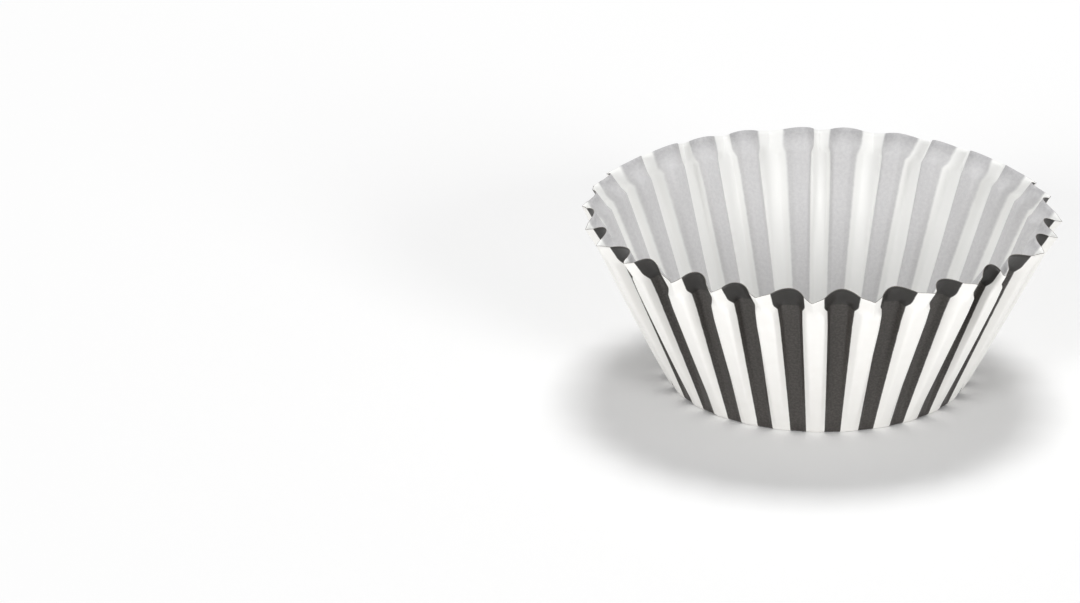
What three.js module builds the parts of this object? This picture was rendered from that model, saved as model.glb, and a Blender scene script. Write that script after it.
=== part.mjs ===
// A paper baking cup: one printed disc of greaseproof paper, pressed into a flat floor and a leaning wall.
// Paper does not stretch, so the wall takes up its spare length in flutes, which start from nothing at the
// floor and deepen towards the rim. Below the lip, the flanks of every flute are turned until its section,
// a path of flat lands, round folds and straight flanks, uses exactly the paper that the flat disc has at
// that distance from its centre. In the flared lip the crests become sharp ridges and the valleys spread
// into round caps. Its section is drawn to that shape, and holds about a sixth less paper than the disc.
// Millimetres, +Z up. The origin is the centre of the floor's underside, and +X runs through a crest.

import * as THREE from "three";

// Driving dimensions
const BASE_DIAMETER = 50; // across the fold between floor and wall
const WALL_LENGTH = 33; // paper from the floor's fold to the rim, measured up the wall
const LIP_LENGTH = 4.2; // the part of it that is flared
const LIP_SPREAD = 1.5; // how far above the crease the caps are fully spread
const WALL_LEAN = 24; // degrees from upright, midway between crests and valleys
const LIP_LEAN = 32; // the same, of the lip
const CAP_DEPTH = 2.9; // from the ridges to the middle of the caps, at the rim
const PAPER = 0.1; // thickness
const FLOOR_BEND = 0.8; // radius of the fold between floor and wall
const FLUTE_COUNT = 28;

// Shares of one flute's paper
const LAND = 0.19; // the flat top of a crest, and the flat bottom of a valley
const FOLD = 0.05; // each round fold beside them
const INK = 0.47; // the printed stripe, centred on the valley

// The lip's ridges, which end where the ink starts
const RIDGE_WIDTH = 0.38; // share of the pitch
const RIDGE_DEPTH = 0.4; // share of the depth

// Heights on the wall, as shares of the stretch below the lip, where the mesh has a ring. They are closer
// near the floor, where the flutes rise fastest.
const WALL_RINGS = [0.05, 0.2, 0.5];

const radians = THREE.MathUtils.degToRad;
const lerp = THREE.MathUtils.lerp;
const clamp = THREE.MathUtils.clamp;

// The middle of the paper, seen in a cut through the axis: floor, bend, wall and lip.
const bendTurn = radians(90 - WALL_LEAN);
const bendTangent = FLOOR_BEND * Math.tan(bendTurn / 2);
const bendStart = BASE_DIAMETER / 2 - bendTangent; // distances along the paper, from the disc's centre
const bendEnd = bendStart + FLOOR_BEND * bendTurn;
const rim = bendEnd + WALL_LENGTH - bendTangent;
const crease = rim - LIP_LENGTH;

// Where the paper at a distance from the disc's centre goes: its radius, height and lean from upright.
function meridian(distance) {
  const turned = clamp(distance - bendStart, 0, bendEnd - bendStart) / FLOOR_BEND;
  const onWall = clamp(distance - bendEnd, 0, crease - bendEnd);
  const onLip = Math.max(distance - crease, 0);
  let radius = Math.min(distance, bendStart) + FLOOR_BEND * Math.sin(turned);
  let height = PAPER / 2 + FLOOR_BEND * (1 - Math.cos(turned));
  radius += onWall * Math.sin(radians(WALL_LEAN)) + onLip * Math.sin(radians(LIP_LEAN));
  height += onWall * Math.cos(radians(WALL_LEAN)) + onLip * Math.cos(radians(LIP_LEAN));
  let lean = radians(90) - turned;
  if (distance === crease) lean = radians((WALL_LEAN + LIP_LEAN) / 2);
  if (distance > crease) lean = radians(LIP_LEAN);
  return { radius, height, lean };
}

// Half a flute's paper in shares, from the middle of a crest: land, fold, flank, fold and land.
const RUNS = [LAND / 2, FOLD, 0.5 - LAND - 2 * FOLD, FOLD, LAND / 2];

// Follows a share of paper with the flank at a turn from the wall: the place along the wall and down from
// the crest, both in shares of the flute's paper.
function wallSection(turn, share) {
  const slopes = [0, 0, turn, turn, 0, 0]; // at the ends of the runs
  let along = 0;
  let down = 0;
  let left = share;
  for (const [index, length] of RUNS.entries()) {
    const part = Math.min(left, length);
    const start = slopes[index];
    const halfTurn = ((slopes[index + 1] - start) * part) / length / 2;
    const chord = halfTurn === 0 ? part : (part * Math.sin(halfTurn)) / halfTurn;
    along += chord * Math.cos(start + halfTurn);
    down += chord * Math.sin(start + halfTurn);
    left -= part;
    if (left <= 0) break;
  }
  return { along, down };
}

// The flank's turn at which half a flute fills half its pitch, found by halving the range.
function flankTurn(halfPitch) {
  let low = 0;
  let high = radians(150);
  for (let step = 0; step < 50; step++) {
    const middle = (low + high) / 2;
    if (wallSection(middle, 0.5).along > halfPitch) low = middle;
    else high = middle;
  }
  return (low + high) / 2;
}

// The same place in the lip, in shares of half the pitch and of the depth: straight down the ridge's side to
// the edge of the ink, and round the cap.
const inkEdge = 0.5 - INK / 2;
function lipSection(share) {
  if (share <= inkEdge) {
    return { along: (RIDGE_WIDTH * share) / inkEdge, down: (RIDGE_DEPTH * share) / inkEdge };
  }
  const onCap = (share - inkEdge) / (0.5 - inkEdge);
  const arch = Math.sin((onCap * Math.PI) / 2);
  const across = lerp(onCap, 1 - Math.cos((onCap * Math.PI) / 2), 0.35);
  return { along: lerp(RIDGE_WIDTH, 1, across), down: lerp(RIDGE_DEPTH, 1, arch) };
}

// The mesh has a corner at the same shares of every flute's paper all the way up, so its lines run straight
// to the centre on the flat disc, as the edges of the ink do.
const halfShares = [0, LAND / 2, LAND / 2 + FOLD, inkEdge, 0.5 - LAND / 2 - FOLD, 0.5 - LAND / 2];
const corners = [...halfShares, 0.5, ...halfShares.slice(1).reverse().map((share) => 1 - share)];

function paperPerFlute(distance) {
  return (2 * Math.PI * distance) / FLUTE_COUNT;
}
const creaseTurn = flankTurn(meridian(crease).radius / crease / 2);
const creaseDepth = wallSection(creaseTurn, 0.5).down * paperPerFlute(crease);

// One flute's section at a distance from the disc's centre: for each corner its angle from the crest, its
// height over the middle of the paper, and the slope there, which turns the thickness square to the paper.
function fluteSection(distance, radius) {
  const paper = paperPerFlute(distance);
  const turn = flankTurn(radius / distance / 2);
  const spread = THREE.MathUtils.smoothstep(distance, crease, crease + LIP_SPREAD);
  const lipDepth = lerp(creaseDepth, CAP_DEPTH, Math.max(distance - crease, 0) / LIP_LENGTH);
  const halfPitch = (Math.PI / FLUTE_COUNT) * radius;
  const place = (share) => {
    const wall = wallSection(turn, share);
    const lip = lipSection(share);
    const along = lerp(wall.along * paper, lip.along * halfPitch, spread);
    return { along, down: lerp(wall.down * paper, lip.down * lipDepth, spread) };
  };
  const depth = place(0.5).down;
  const places = corners.map((share) => {
    const { along, down } = place(Math.min(share, 1 - share));
    return { along: share > 0.5 ? 2 * halfPitch - along : along, down };
  });
  return places.map(({ along, down }, index) => {
    const before = places.at(index - 1);
    const after = places[(index + 1) % places.length];
    const nextFlute = index === 0 || after === places[0] ? 2 * halfPitch : 0;
    const slope = Math.atan2(after.down - before.down, after.along - before.along + nextFlute);
    return { angle: along / radius, up: depth / 2 - down, slope };
  });
}

// A ring of the paper's outer or inner face: all its corners, flute after flute.
function ring(distance, side) {
  const { radius, height, lean } = meridian(distance);
  const section = fluteSection(distance, radius);
  const points = [];
  for (let flute = 0; flute < FLUTE_COUNT; flute++) {
    for (const { angle, up, slope } of section) {
      const turned = (flute * 2 * Math.PI) / FLUTE_COUNT + angle;
      const outward = new THREE.Vector3(
        Math.cos(turned) * Math.cos(lean),
        Math.sin(turned) * Math.cos(lean),
        -Math.sin(lean),
      );
      const around = new THREE.Vector3(-Math.sin(turned), Math.cos(turned), 0);
      points.push(
        new THREE.Vector3(Math.cos(turned) * radius, Math.sin(turned) * radius, height)
          .addScaledVector(outward, up + (side * PAPER * Math.cos(slope)) / 2)
          .addScaledVector(around, (side * PAPER * Math.sin(slope)) / 2),
      );
    }
  }
  return points;
}

// The cup is a lathe form from the underside's centre, up the outer face, over the rim and down the inner
// face to the floor's centre, whose corners are then moved to the flutes.
function flutedCup() {
  const wall = WALL_RINGS.map((share) => lerp(bendEnd, crease, share));
  const distances = [bendStart, bendEnd, ...wall, crease, crease + LIP_SPREAD, rim];
  const outer = distances.map((distance) => ring(distance, 1));
  const inner = distances.map((distance) => ring(distance, -1)).reverse();
  const rings = [...outer, ...inner];
  const sectors = FLUTE_COUNT * corners.length;
  const underside = new THREE.Vector3(0, 0, 0);
  const floor = new THREE.Vector3(0, 0, PAPER);

  const profile = [
    new THREE.Vector2(0, underside.z),
    ...rings.map((points) => new THREE.Vector2(Math.hypot(points[0].x, points[0].y), points[0].z)),
    new THREE.Vector2(0, floor.z),
  ];
  const geometry = new THREE.LatheGeometry(profile, sectors);
  const position = geometry.attributes.position;
  for (let vertex = 0; vertex < position.count; vertex++) {
    const sector = Math.floor(vertex / profile.length) % sectors;
    const row = vertex % profile.length;
    const point = [underside, ...rings.map((points) => points[sector]), floor][row];
    position.setXYZ(vertex, point.x, point.y, point.z);
  }

  // The lathe writes its triangles sector by sector, and in each the outer face comes first. It runs up the
  // outer face and down the inner one, so it splits their quads along opposite diagonals. The inner face's
  // are split again along the outer face's, or thin paper would pass through itself where it is twisted.
  const perSector = 6 * (profile.length - 1);
  const triangles = geometry.index.array;
  for (let sector = 0; sector < sectors; sector++) {
    for (let row = distances.length + 1; row < 2 * distances.length; row++) {
      const start = sector * perSector + 6 * row;
      const [corner, nextSector, nextRow, opposite] = triangles.slice(start, start + 4);
      triangles.set([corner, nextSector, opposite, opposite, nextRow, corner], start);
    }
  }
  geometry.computeVertexNormals();

  const outerRun = 6 * distances.length;
  for (let sector = 0; sector < sectors; sector++) {
    const share = corners[sector % corners.length];
    const printed = share >= inkEdge && share < 1 - inkEdge;
    const start = sector * perSector;
    geometry.addGroup(start, outerRun, printed ? 1 : 0);
    geometry.addGroup(start + outerRun, perSector - outerRun, 0);
  }
  return geometry;
}

const whitePaper = new THREE.MeshStandardMaterial({ color: 0xf8f6f2, roughness: 0.72, metalness: 0 });
const blackInk = new THREE.MeshStandardMaterial({ color: 0x4e4a47, roughness: 0.46, metalness: 0 });

const cup = new THREE.Mesh(flutedCup(), [whitePaper, blackInk]);
cup.name = "paper_cup";

const bakingCup = new THREE.Group();
bakingCup.add(cup);

export default bakingCup;
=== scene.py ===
import math
import random

import bmesh
import bpy
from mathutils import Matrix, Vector


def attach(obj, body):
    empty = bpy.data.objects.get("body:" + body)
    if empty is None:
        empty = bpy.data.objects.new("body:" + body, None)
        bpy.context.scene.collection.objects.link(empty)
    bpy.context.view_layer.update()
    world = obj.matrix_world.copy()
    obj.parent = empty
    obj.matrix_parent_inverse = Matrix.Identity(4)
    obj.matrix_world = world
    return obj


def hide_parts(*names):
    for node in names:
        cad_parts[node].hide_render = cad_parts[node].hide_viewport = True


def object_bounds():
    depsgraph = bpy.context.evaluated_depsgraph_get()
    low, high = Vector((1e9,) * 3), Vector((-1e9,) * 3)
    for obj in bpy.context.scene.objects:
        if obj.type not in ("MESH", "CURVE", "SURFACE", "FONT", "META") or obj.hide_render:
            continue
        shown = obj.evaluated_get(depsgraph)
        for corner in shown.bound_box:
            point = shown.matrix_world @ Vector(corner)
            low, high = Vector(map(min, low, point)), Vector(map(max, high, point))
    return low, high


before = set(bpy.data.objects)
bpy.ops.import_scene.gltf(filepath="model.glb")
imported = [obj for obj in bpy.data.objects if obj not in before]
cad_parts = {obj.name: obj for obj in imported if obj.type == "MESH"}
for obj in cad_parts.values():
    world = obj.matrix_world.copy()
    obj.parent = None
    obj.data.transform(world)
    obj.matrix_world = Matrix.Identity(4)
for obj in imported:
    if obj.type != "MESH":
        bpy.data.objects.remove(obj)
cad_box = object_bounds()

# The cup's sizes, in millimetres and degrees, as the solid has them
BASE_DIAMETER = 50
WALL_LENGTH = 33
LIP_LENGTH = 4.2
WALL_LEAN = 24
LIP_LEAN = 32
PAPER = 0.1
FLOOR_BEND = 0.8
FLUTE_COUNT = 28

# Shares of one flute's paper
LAND_SHARE = 0.19  # the flat top of a crest, and the flat bottom of a valley
FOLD_SHARE = 0.05  # each round fold beside them
INK_SHARE = 0.47

# The squeezed pleats of the lip: white ridges that stand between round black caps
CAP_DEPTH = 2.9  # from a ridge to the middle of a cap, at the rim
RIDGE_WIDTH = 0.38  # share of the pitch
RIDGE_DEPTH = 0.4  # share of the depth
CAP_ROUNDNESS = 0.35  # 0 for a cap that is half a sine wave, 1 for half an ellipse
LIP_SPREAD = 1.5  # how far above the crease the caps are fully spread
CREASE_SOFTNESS = 0.5  # how far below the crease they start to, where the solid has a sharp step
INK_START = 9  # radius of the unprinted disc in the middle of the floor

# How the flank's turn is found
STEEPEST_FLANK = 150  # degrees
HALVINGS = 40

# How much one flute differs from the next
CREST_DRIFT = 1.3  # degrees round the axis, at the rim
LIP_DRIFT = 1.6  # further degrees between crease and rim
DEPTH_SPREAD = 0.16  # share of the depth
FLARE_SPREAD = 0.3  # millimetres in or out at the rim
SEED = 11

# The mesh
SECTORS_PER_FLUTE = 36
FLOOR_RING = 18
BEND_MARGIN = 1  # from the floor's last ring to its bend
BEND_STEPS = 4
WALL_RINGS = 14
WALL_CROWDING = 1.6  # above 1, rings stand closer near the floor
LIP_RINGS = 8
LIP_CROWDING = 1.4  # the same, near the crease
SAME_POINT = 1e-4  # corners closer than this are one

# Grain of the paper and the ink on the flat sheet, in millimetres. Real fibres are about 0.03 wide, too fine
# to show in a picture of the whole cup, so they are drawn ten times as coarse.
FIBRE_WIDTH = 0.3
CUT_FIBRE_WIDTH = 0.25  # the same, where the cut edge shows their ends
STREAK_WIDTH = 0.6  # the streaks that the press draws up the wall, at the crease
STREAK_LENGTH = 7.5
BUMP_HEIGHT = 0.02
CLOUD_SIZE = 2  # patches where the sheet is a little denser
INK_MOTTLE = 0.4
SHOW_THROUGH_MOTTLE = 0.6
SWERVE_SPACING = 1.1  # from one small swerve of a stripe's edge to the next

# How sharply the print, its show-through and the painted shade of the lip end, in flutes for a stripe's edge
# and millimetres for the rest
INK_SOFTNESS = 0.008
INK_SWERVE = 0.012
SHOW_THROUGH_SOFTNESS = 0.03
SHOW_THROUGH_SWERVE = 0.03
INK_START_SOFTNESS = 0.1
# softness where the lip's painted shade starts: the ink is darkened there to stand for the shade on the
# downward-facing caps
LIP_SHADE_SOFTNESS = 0.15
RIM_SHADE = 3  # width of the band inside the rim where the show-through darkens

PAPER_IOR = 1.5
INK_ROUGHNESS = 0.4
PRINT_SIDE_ROUGHNESS = 0.72
BARE_SIDE_ROUGHNESS = 0.7

MM = 0.001


def linear(hex_colour):
    """An sRGB colour such as "f4f2ec" as the linear RGBA that shaders take."""
    values = [int(hex_colour[i:i + 2], 16) / 255 for i in (0, 2, 4)]
    return [v / 12.92 if v <= 0.04045 else ((v + 0.055) / 1.055) ** 2.4 for v in values] + [1]


def lerp(a, b, t):
    return a + (b - a) * t


def clamp(value, low, high):
    return max(low, min(value, high))


def smooth(t):
    t = clamp(t, 0, 1)
    return t * t * (3 - 2 * t)


# The paper's middle in a cut through the axis. Distances run along the paper from the disc's centre.
bend_turn = math.radians(90 - WALL_LEAN)
bend_tangent = FLOOR_BEND * math.tan(bend_turn / 2)
bend_start = BASE_DIAMETER / 2 - bend_tangent
bend_end = bend_start + FLOOR_BEND * bend_turn
rim = bend_end + WALL_LENGTH - bend_tangent
crease = rim - LIP_LENGTH


def meridian(distance):
    """Radius, height and lean from upright of the paper at a distance from the disc's centre."""
    turned = clamp(distance - bend_start, 0, bend_end - bend_start) / FLOOR_BEND
    on_wall = clamp(distance - bend_end, 0, crease - bend_end)
    on_lip = max(distance - crease, 0)
    wall = math.radians(WALL_LEAN)
    lip = math.radians(LIP_LEAN)
    radius = min(distance, bend_start) + FLOOR_BEND * math.sin(turned)
    radius += on_wall * math.sin(wall) + on_lip * math.sin(lip)
    height = PAPER / 2 + FLOOR_BEND * (1 - math.cos(turned))
    height += on_wall * math.cos(wall) + on_lip * math.cos(lip)
    if distance < bend_end:
        lean = math.pi / 2 - turned
    else:
        lean = lerp(wall, lip, smooth((distance - crease) / LIP_LENGTH + 0.5))
    return radius, height, lean


FLANK_SHARE = 0.5 - LAND_SHARE - 2 * FOLD_SHARE
RUNS = [LAND_SHARE / 2, FOLD_SHARE, FLANK_SHARE, FOLD_SHARE, LAND_SHARE / 2]


def wall_section(turn, share):
    """Follows a share of a flute's paper from the middle of a crest, with the flank at a turn from the wall.

    Gives the place along the wall and down from the crest, both in shares of the flute's paper.
    """
    slopes = [0, 0, turn, turn, 0, 0]
    along = down = 0
    left = share
    for index, length in enumerate(RUNS):
        part = min(left, length)
        start = slopes[index]
        slope = start + (slopes[index + 1] - start) * part / length
        half_turn = (slope - start) / 2
        chord = part if half_turn == 0 else part * math.sin(half_turn) / half_turn
        along += chord * math.cos(start + half_turn)
        down += chord * math.sin(start + half_turn)
        left -= part
        if left <= 0:
            break
    return along, down


def flank_turn(half_pitch):
    """The flank's turn at which half a flute's paper fills half its pitch."""
    low, high = 0, math.radians(STEEPEST_FLANK)
    for _ in range(HALVINGS):
        middle = (low + high) / 2
        if wall_section(middle, 0.5)[0] > half_pitch:
            low = middle
        else:
            high = middle
    return (low + high) / 2


def lip_section(share):
    """The same place in the lip, in shares of half the pitch and of the depth."""
    ink_edge = 0.5 - INK_SHARE / 2
    if share < ink_edge:
        return RIDGE_WIDTH * share / ink_edge, RIDGE_DEPTH * share / ink_edge
    on_cap = (share - ink_edge) / (0.5 - ink_edge)
    arch = math.sin(on_cap * math.pi / 2)
    across = lerp(on_cap, 1 - math.cos(on_cap * math.pi / 2), CAP_ROUNDNESS)
    return lerp(RIDGE_WIDTH, 1, across), lerp(RIDGE_DEPTH, 1, arch)


# One value for each crest and each valley in turn, blended between them
chance = random.Random(SEED)
drift = [chance.uniform(-1, 1) for _ in range(2 * FLUTE_COUNT)]
lip_drift = [chance.uniform(-1, 1) for _ in range(2 * FLUTE_COUNT)]
depth_change = [chance.uniform(-1, 1) for _ in range(2 * FLUTE_COUNT)]
flare_change = [chance.uniform(-1, 1) for _ in range(2 * FLUTE_COUNT)]


def vary(values, flutes):
    """The blended value at a place counted in flutes round the cup."""
    place = flutes * 2
    index = math.floor(place)
    first = values[index % len(values)]
    second = values[(index + 1) % len(values)]
    return lerp(first, second, smooth(place - index))


def press(flat):
    """Where a point of the flat disc goes in the pressed cup, both in millimetres."""
    distance = flat.length
    if distance < SAME_POINT:
        return Vector((0, 0, PAPER / 2))
    flutes = math.atan2(flat.y, flat.x) * FLUTE_COUNT / (2 * math.pi)
    nearest = round(flutes)
    side = flutes - nearest
    radius, height, lean = meridian(distance)
    turn = turns[min(turns, key=lambda ring: abs(ring - distance))]
    paper = 2 * math.pi * distance / FLUTE_COUNT
    half_pitch = math.pi / FLUTE_COUNT
    up_wall = clamp((distance - bend_end) / (crease - bend_end), 0, 1)
    on_lip = clamp((distance - crease) / LIP_LENGTH, 0, 1)
    spread = smooth((distance - crease + CREASE_SOFTNESS) / (LIP_SPREAD + CREASE_SOFTNESS))
    wall_along, wall_down = (value * paper for value in wall_section(turn, abs(side)))
    wall_depth = wall_section(turn, 0.5)[1] * paper
    lip_along, lip_down = lip_section(abs(side))
    along = lerp(wall_along / radius, lip_along * half_pitch, spread)
    lip_depth = lerp(crease_depth, CAP_DEPTH, on_lip)
    down = lerp(wall_down, lip_down * lip_depth, spread)
    half_depth = lerp(wall_depth, lip_depth, spread) / 2

    angle = nearest * 2 * half_pitch + math.copysign(along, side)
    angle += math.radians(CREST_DRIFT) * up_wall * vary(drift, flutes)
    angle += math.radians(LIP_DRIFT) * on_lip * vary(lip_drift, flutes)
    depth = 1 + DEPTH_SPREAD * up_wall * vary(depth_change, flutes)
    proud = (half_depth - down) * depth + FLARE_SPREAD * on_lip * vary(flare_change, flutes)
    radius += proud * math.cos(lean)
    height -= proud * math.sin(lean)
    return Vector((radius * math.cos(angle), radius * math.sin(angle), height))


# Distances of the mesh's rings from the disc's centre
rings = [0, INK_START, FLOOR_RING, bend_start - BEND_MARGIN]
rings += [lerp(bend_start, bend_end, i / BEND_STEPS) for i in range(BEND_STEPS + 1)]
rings += [lerp(bend_end, crease, (i / WALL_RINGS) ** WALL_CROWDING) for i in range(1, WALL_RINGS + 1)]
rings += [lerp(crease, rim, (i / LIP_RINGS) ** LIP_CROWDING) for i in range(1, LIP_RINGS + 1)]

turns = {ring: flank_turn(meridian(ring)[0] / ring / 2) for ring in rings[1:]}
crease_turn = flank_turn(meridian(crease)[0] / crease / 2)
crease_depth = wall_section(crease_turn, 0.5)[1] * 2 * math.pi * crease / FLUTE_COUNT


def add_node(tree, kind, inputs=None, **settings):
    """Adds a node with settings, and with its inputs set to values or linked to other nodes' outputs."""
    node = tree.nodes.new(kind)
    for name, value in settings.items():
        setattr(node, name, value)
    for name, value in (inputs or {}).items():
        if isinstance(value, bpy.types.NodeSocket):
            tree.links.new(value, node.inputs[name])
        else:
            node.inputs[name].default_value = value
    return node


def maths(tree, operation, *values):
    return add_node(tree, "ShaderNodeMath", dict(enumerate(values)), operation=operation).outputs[0]


def ramp(tree, value, start, end, low=0.0, high=1.0):
    inputs = {"Value": value, "From Min": start, "From Max": end, "To Min": low, "To Max": high}
    return add_node(tree, "ShaderNodeMapRange", inputs, interpolation_type="SMOOTHSTEP").outputs[0]


def noise(tree, place, grain, detail=3.0, roughness=0.5):
    """Soft noise with blotches about one grain across, in the units of the place."""
    inputs = {"Vector": place, "Scale": 1 / grain, "Detail": detail, "Roughness": roughness}
    return add_node(tree, "ShaderNodeTexNoise", inputs).outputs["Fac"]


def mix(tree, factor, first, second):
    """Blends two colours, which are the node's inputs 6 and 7. Its output 2 is the colour."""
    inputs = {0: factor, 6: first, 7: second}
    return add_node(tree, "ShaderNodeMix", inputs, data_type="RGBA").outputs[2]


def sheet_place(tree):
    """Where a point was on the flat sheet, in millimetres from the disc's centre."""
    return add_node(tree, "ShaderNodeUVMap", uv_map="sheet").outputs[0]


def sheet_distance(tree, place):
    """How far a point was from the disc's centre on the flat sheet, in millimetres."""
    return add_node(tree, "ShaderNodeVectorMath", {0: place}, operation="LENGTH").outputs["Value"]


def stripes(tree, place, softness, wander=0.0):
    """1 where the sheet is printed and 0 where it isn't, with an edge of some softness in flutes."""
    axes = add_node(tree, "ShaderNodeSeparateXYZ", {0: place})
    turn = maths(tree, "ARCTAN2", axes.outputs["Y"], axes.outputs["X"])
    flutes = maths(tree, "MULTIPLY", turn, FLUTE_COUNT / (2 * math.pi))
    swerve = maths(tree, "SUBTRACT", noise(tree, place, SWERVE_SPACING), 0.5)
    wandering = maths(tree, "MULTIPLY", swerve, wander)
    from_crest = maths(tree, "PINGPONG", maths(tree, "ADD", flutes, wandering), 0.5)
    edge = 0.5 - INK_SHARE / 2
    across = ramp(tree, from_crest, edge - softness, edge + softness)
    distance = sheet_distance(tree, place)
    outside = ramp(tree, distance, INK_START - INK_START_SOFTNESS, INK_START + INK_START_SOFTNESS)
    return maths(tree, "MULTIPLY", across, outside)


def fibre_bump(tree, place):
    """Felted paper fibre, with the fine streaks that the press draws along the flutes."""
    direction = add_node(tree, "ShaderNodeVectorMath", {0: place}, operation="NORMALIZE").outputs[0]
    distance = sheet_distance(tree, place)
    round_inputs = {0: direction, "Scale": crease / STREAK_WIDTH}
    round_cup = add_node(tree, "ShaderNodeVectorMath", round_inputs, operation="SCALE").outputs[0]
    axes = add_node(tree, "ShaderNodeSeparateXYZ", {0: round_cup})
    up_wall = maths(tree, "DIVIDE", distance, STREAK_LENGTH)
    streak_inputs = {0: axes.outputs[0], 1: axes.outputs[1], 2: up_wall}
    streak_place = add_node(tree, "ShaderNodeCombineXYZ", streak_inputs).outputs[0]
    streaks = noise(tree, streak_place, 1, 2.0)
    fibres = noise(tree, place, FIBRE_WIDTH, 4.0, 0.6)
    height = maths(tree, "ADD", maths(tree, "MULTIPLY", fibres, 0.5), streaks)
    inputs = {"Height": height, "Distance": BUMP_HEIGHT * MM, "Strength": 1.0}
    return add_node(tree, "ShaderNodeBump", inputs).outputs[0]


def new_material(name):
    material = bpy.data.materials.new(name)
    material.use_nodes = True
    tree = material.node_tree
    return material, tree, tree.nodes["Principled BSDF"]


def printed_paper():
    """The outside: off-white greaseproof paper with charcoal stripes, flexo printed while flat.

    The paper is matt and slightly cloudy. The thin ink has a soft sheen and small mottles, where the fibres
    took it unevenly. In the lip the ink is painted darker, as shade for the caps, which face down.
    """
    material, tree, surface = new_material("printed_greaseproof_paper")
    place = sheet_place(tree)
    ink = stripes(tree, place, INK_SOFTNESS, INK_SWERVE)
    cloud = noise(tree, place, CLOUD_SIZE)
    white = mix(tree, cloud, linear("f6f4f0"), linear("fbfaf7"))
    density = noise(tree, place, INK_MOTTLE, 4.0, 0.6)
    charcoal = mix(tree, ramp(tree, density, 0.35, 0.7), linear("393633"), linear("4c4845"))
    distance = sheet_distance(tree, place)
    # Painted shade: the ink in the lip is darkened to stand for the shade on the caps, which face down
    lip_shade = ramp(tree, distance, crease - LIP_SHADE_SOFTNESS, crease + LIP_SHADE_SOFTNESS)
    charcoal = mix(tree, lip_shade, charcoal, linear("2a2826"))
    tree.links.new(mix(tree, ink, white, charcoal), surface.inputs["Base Color"])
    roughness = ramp(tree, ink, 0, 1, PRINT_SIDE_ROUGHNESS, INK_ROUGHNESS)
    tree.links.new(roughness, surface.inputs["Roughness"])
    tree.links.new(fibre_bump(tree, place), surface.inputs["Normal"])
    surface.inputs["IOR"].default_value = PAPER_IOR
    return material


def bare_paper():
    """The inside: unprinted and matt. The stripes show through as pale grey, mottled by the fibres."""
    material, tree, surface = new_material("bare_greaseproof_paper")
    place = sheet_place(tree)
    behind = stripes(tree, place, SHOW_THROUGH_SOFTNESS, SHOW_THROUGH_SWERVE)
    mottle = noise(tree, place, SHOW_THROUGH_MOTTLE, 5.0, 0.65)
    shown = maths(tree, "MULTIPLY", behind, ramp(tree, mottle, 0.25, 0.75, 0.75, 1.0))
    near_rim = ramp(tree, sheet_distance(tree, place), rim - RIM_SHADE, rim)
    grey = mix(tree, near_rim, linear("d0cfd0"), linear("b6b5b7"))
    colour = mix(tree, shown, linear("fafaf8"), grey)
    tree.links.new(colour, surface.inputs["Base Color"])
    tree.links.new(fibre_bump(tree, place), surface.inputs["Normal"])
    surface.inputs["Roughness"].default_value = BARE_SIDE_ROUGHNESS
    surface.inputs["IOR"].default_value = PAPER_IOR
    return material


def shaded_cut_edge():
    """The die-cut edge, painted a dull grey that stands for the thin shadow line along the rim, mottled by
    the fibres' ends.
    """
    material, tree, surface = new_material("cut_paper_edge_painted_shade")
    place = sheet_place(tree)
    fibres = noise(tree, place, CUT_FIBRE_WIDTH, 2.0)
    # Painted shade: these greys stand for the shadow along the edge, not for the paper's own colour
    colour = mix(tree, fibres, linear("77736d"), linear("a19d97"))
    tree.links.new(colour, surface.inputs["Base Color"])
    surface.inputs["Roughness"].default_value = 0.9
    surface.inputs["IOR"].default_value = PAPER_IOR
    return material


def baking_cup():
    """The flat disc as rings and sectors, whose corners are then moved to their pressed places."""
    mesh = bmesh.new()
    radius_line = [mesh.verts.new((ring, 0, 0)) for ring in rings]
    spokes = [mesh.edges.new(pair) for pair in zip(radius_line, radius_line[1:])]
    bmesh.ops.spin(
        mesh,
        geom=radius_line + spokes,
        axis=(0, 0, 1),
        angle=2 * math.pi,
        steps=FLUTE_COUNT * SECTORS_PER_FLUTE,
        use_merge=True,
    )
    bmesh.ops.remove_doubles(mesh, verts=mesh.verts, dist=SAME_POINT)
    sheet = mesh.loops.layers.uv.new("sheet")
    for face in mesh.faces:
        face.smooth = True
        for loop in face.loops:
            loop[sheet].uv = loop.vert.co.xy
    if sum(face.normal.z for face in mesh.faces) > 0:
        bmesh.ops.reverse_faces(mesh, faces=mesh.faces)
    for vertex in mesh.verts:
        vertex.co = press(vertex.co.copy()) * MM
    data = bpy.data.meshes.new("baking_cup")
    mesh.to_mesh(data)
    mesh.free()
    for material in (printed_paper(), bare_paper(), shaded_cut_edge()):
        data.materials.append(material)
    cup = bpy.data.objects.new("baking_cup", data)
    bpy.context.scene.collection.objects.link(cup)
    paper = cup.modifiers.new("paper", "SOLIDIFY")
    paper.thickness = PAPER * MM
    paper.offset = 0
    paper.material_offset = 1
    paper.material_offset_rim = 2
    return cup


cup = baking_cup()
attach(cup, "root")
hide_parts("paper_cup")


# The stage, in metres and watts: a white floor, a soft lamp above and a little behind, and two low ones in
# front, one on each side
FLOOR_SIZE = 6
FLOOR_WHITE = "ffffff"
OVERHEAD_PLACE = (0.08, 0.66, 1.6)
OVERHEAD_SIZE = 0.56
OVERHEAD_POWER = 15.5
FILL_ASIDE = 0.9
FILL_AHEAD = 1.3
FILL_HEIGHT = 0.55
FILL_SIZE = 0.5
FILL_POWER = 8.5
WORLD_STRENGTH = 0.33


def white_floor():
    mesh = bmesh.new()
    bmesh.ops.create_grid(mesh, x_segments=1, y_segments=1, size=FLOOR_SIZE / 2)
    data = bpy.data.meshes.new("floor")
    mesh.to_mesh(data)
    mesh.free()
    material, _, surface = new_material("white_floor")
    surface.inputs["Base Color"].default_value = linear(FLOOR_WHITE)
    surface.inputs["Roughness"].default_value = 1.0
    surface.inputs["Specular IOR Level"].default_value = 0.0
    data.materials.append(material)
    floor = bpy.data.objects.new("floor", data)
    bpy.context.scene.collection.objects.link(floor)


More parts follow.
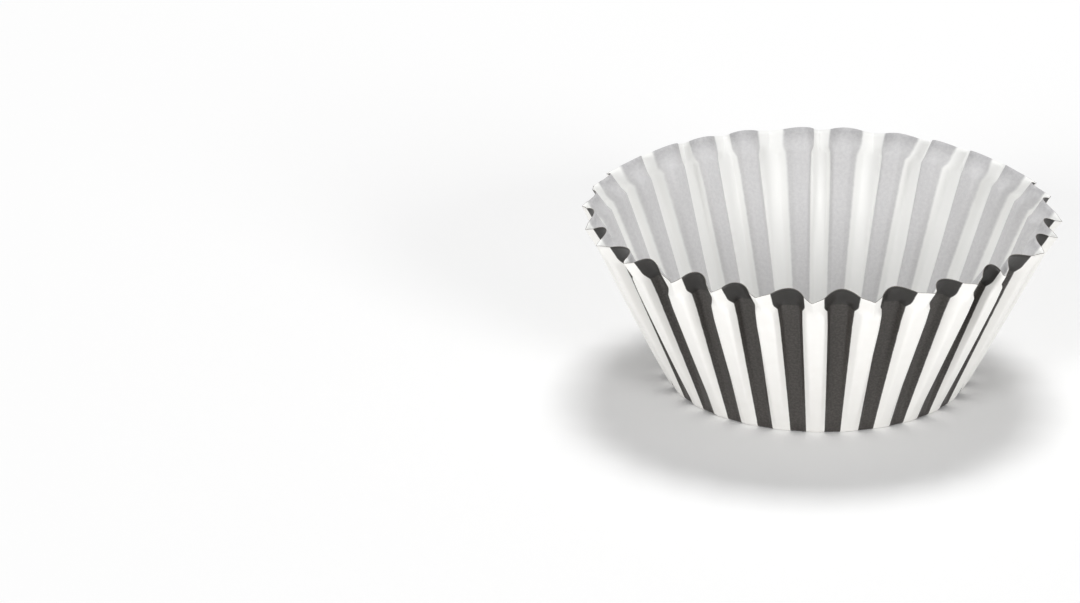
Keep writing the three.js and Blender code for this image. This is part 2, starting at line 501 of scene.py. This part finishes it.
def area_light(name, place, size, power):
    """A square soft box at a place in metres, facing the cup."""
    data = bpy.data.lights.new(name, "AREA")
    data.shape = "SQUARE"
    data.size = size
    data.energy = power
    lamp = bpy.data.objects.new(name, data)
    lamp.location = place
    lamp.rotation_euler = (-Vector(place)).to_track_quat("-Z", "Y").to_euler()
    bpy.context.scene.collection.objects.link(lamp)


white_floor()
area_light("overhead", OVERHEAD_PLACE, OVERHEAD_SIZE, OVERHEAD_POWER)
for name, side in (("left_fill", -1), ("right_fill", 1)):
    area_light(name, (side * FILL_ASIDE, -FILL_AHEAD, FILL_HEIGHT), FILL_SIZE, FILL_POWER)
world = bpy.data.worlds.new("studio")
bpy.context.scene.world = world
world.use_nodes = True
world.node_tree.nodes["Background"].inputs["Color"].default_value = (1, 1, 1, 1)
world.node_tree.nodes["Background"].inputs["Strength"].default_value = WORLD_STRENGTH

# The camera stands in front of the cup and looks past it, so that the cup lies to the right in the frame
PICTURE_WIDTH = 1080
PICTURE_HEIGHT = 603
CUP_PIXEL = (818, 284)  # where the point half way up the axis shows in the picture
PIXELS_PER_MM = 5.93
CAMERA_ELEVATION = 22
CAMERA_DISTANCE = 0.9
SENSOR = 36

camera_data = bpy.data.cameras.new("camera")
camera = bpy.data.objects.new("camera", camera_data)
bpy.context.scene.collection.objects.link(camera)
bpy.context.scene.camera = camera
elevation = math.radians(CAMERA_ELEVATION)
middle = Vector((0, 0, (cad_box[0].z + cad_box[1].z) / 2))
backward = Vector((0, -math.cos(elevation), math.sin(elevation)))
upward = Vector((0, math.sin(elevation), math.cos(elevation)))
camera.location = middle + backward * CAMERA_DISTANCE
aim = middle.copy()
aim.x -= (CUP_PIXEL[0] - PICTURE_WIDTH / 2) / PIXELS_PER_MM * MM
aim += upward * ((CUP_PIXEL[1] - PICTURE_HEIGHT / 2) / PIXELS_PER_MM * MM)
camera.rotation_euler = (aim - camera.location).to_track_quat("-Z", "Y").to_euler()
camera_data.sensor_width = SENSOR
camera_data.lens = SENSOR * PIXELS_PER_MM * CAMERA_DISTANCE / MM / PICTURE_WIDTH

bpy.context.scene.view_settings.view_transform = "Standard"
